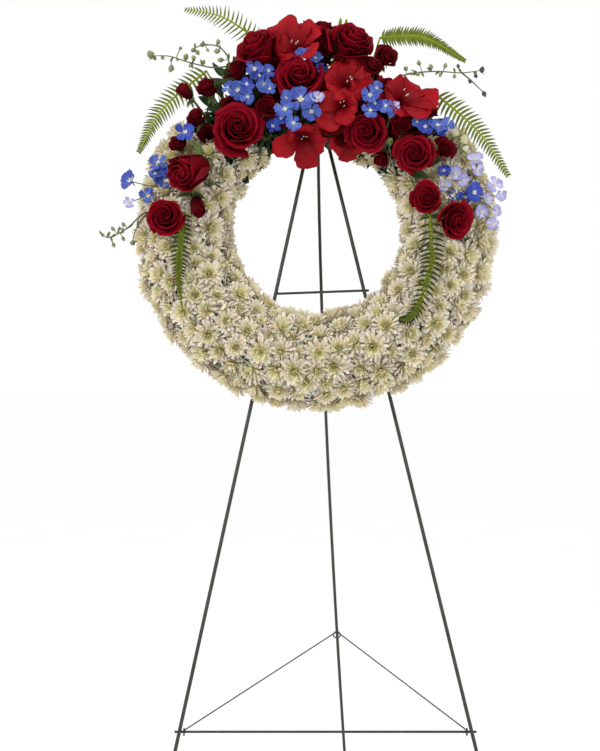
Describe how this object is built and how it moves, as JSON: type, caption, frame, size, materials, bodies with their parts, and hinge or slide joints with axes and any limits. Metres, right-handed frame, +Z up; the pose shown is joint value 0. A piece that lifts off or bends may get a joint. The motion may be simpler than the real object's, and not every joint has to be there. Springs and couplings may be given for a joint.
{
  "type": "funeral wreath on easel",
  "caption": "Funeral wreath: a ring of ivory chrysanthemums with a crown of red and blue flowers, on a folding wire easel.",
  "frame": {"origin": "middle of the standing object's bounding box, on the floor that its three feet stand on", "axes": "+Z up, the wreath's face looks towards -Y, +X to the right of somebody who looks at it"},
  "size_m": [0.6808, 0.5138, 1.3506],
  "materials": {
    "painted_wire": "dark olive-grey satin paint on steel wire",
    "tie_wire": "bare florist wire",
    "tray_plastic": "dark green moulded plastic, matt",
    "floral_foam": "green floral foam, fine open pores",
    "greenery": "dark green leaves, satin",
    "mum_petal": "ivory petals with yellow-green hearts",
    "rose_petal": "deep red velvety petals",
    "dark_rose_petal": "dark red velvety petals",
    "gladiolus_petal": "scarlet satin petals",
    "delphinium_petal": "blue petals with white hearts",
    "pale_delphinium_petal": "lavender and blue petals with white hearts",
    "fern_leaf": "yellow-green fronds with paler midribs",
    "bud_green": "pale green buds and stalks"
  },
  "bodies": {
    "easel_frame": {"front_leg_left": "painted_wire", "front_leg_right": "painted_wire", "lower_crossbar": "painted_wire", "upper_crossbar": "painted_wire", "hinge_pin": "painted_wire", "tie_wire_left": "tie_wire", "tie_wire_right": "tie_wire", "tie_wire_top": "tie_wire", "backing_tray": "tray_plastic", "foam_ring": "floral_foam", "greenery_bed_0": "greenery", "greenery_bed_36": "greenery", "chrysanthemums_72": "mum_petal", "chrysanthemums_108": "mum_petal", "chrysanthemums_144": "mum_petal", "chrysanthemums_180": "mum_petal", "chrysanthemums_216": "mum_petal", "chrysanthemums_252": "mum_petal", "chrysanthemums_288": "mum_petal", "greenery_bed_324": "greenery", "rose_1": "rose_petal", "rose_2": "rose_petal", "rose_3": "rose_petal", "rose_4": "rose_petal", "rose_5": "rose_petal", "rose_6": "rose_petal", "rose_7": "rose_petal", "rose_8": "rose_petal", "rose_9": "rose_petal", "rose_10": "rose_petal", "gladiolus_1": "gladiolus_petal", "gladiolus_2": "gladiolus_petal", "gladiolus_3": "gladiolus_petal", "gladiolus_4": "gladiolus_petal", "gladiolus_5": "gladiolus_petal", "spray_rose_1": "dark_rose_petal", "spray_rose_2": "dark_rose_petal", "spray_rose_3": "dark_rose_petal", "spray_rose_4": "dark_rose_petal", "spray_rose_5": "dark_rose_petal", "spray_rose_6": "dark_rose_petal", "spray_rose_7": "dark_rose_petal", "spray_rose_8": "dark_rose_petal", "delphinium_1": "delphinium_petal", "delphinium_2": "delphinium_petal", "delphinium_3": "delphinium_petal", "delphinium_4": "delphinium_petal", "delphinium_5": "delphinium_petal", "delphinium_6": "pale_delphinium_petal", "fern_1": "fern_leaf", "fern_2": "fern_leaf", "fern_3": "fern_leaf", "fern_4": "fern_leaf", "fern_5": "fern_leaf", "fern_6": "fern_leaf", "bud_spray_1": "bud_green", "bud_spray_2": "bud_green", "bud_spray_3": "bud_green"},
    "back_leg": {"back_leg": "painted_wire"},
    "spreader": {"spreader_wire": "painted_wire"}
  },
  "joints": [
    {"name": "back_leg_fold", "type": "hinge", "parent": "easel_frame", "child": "back_leg", "pos_m": [0.02014, -0.04585, 1.15133], "axis": [-1, 0, 0], "range_deg": [0, 23.1]},
    {"name": "spreader_fold", "type": "hinge", "parent": "easel_frame", "child": "spreader", "pos_m": [0.03064, -0.22471, 0.13698], "axis": [1, 0, 0], "range_deg": [0, 62.4]}
  ],
  "couplings": [
    {"joint": "spreader_fold", "follows": "back_leg_fold", "ratio": 2.7}
  ]
}
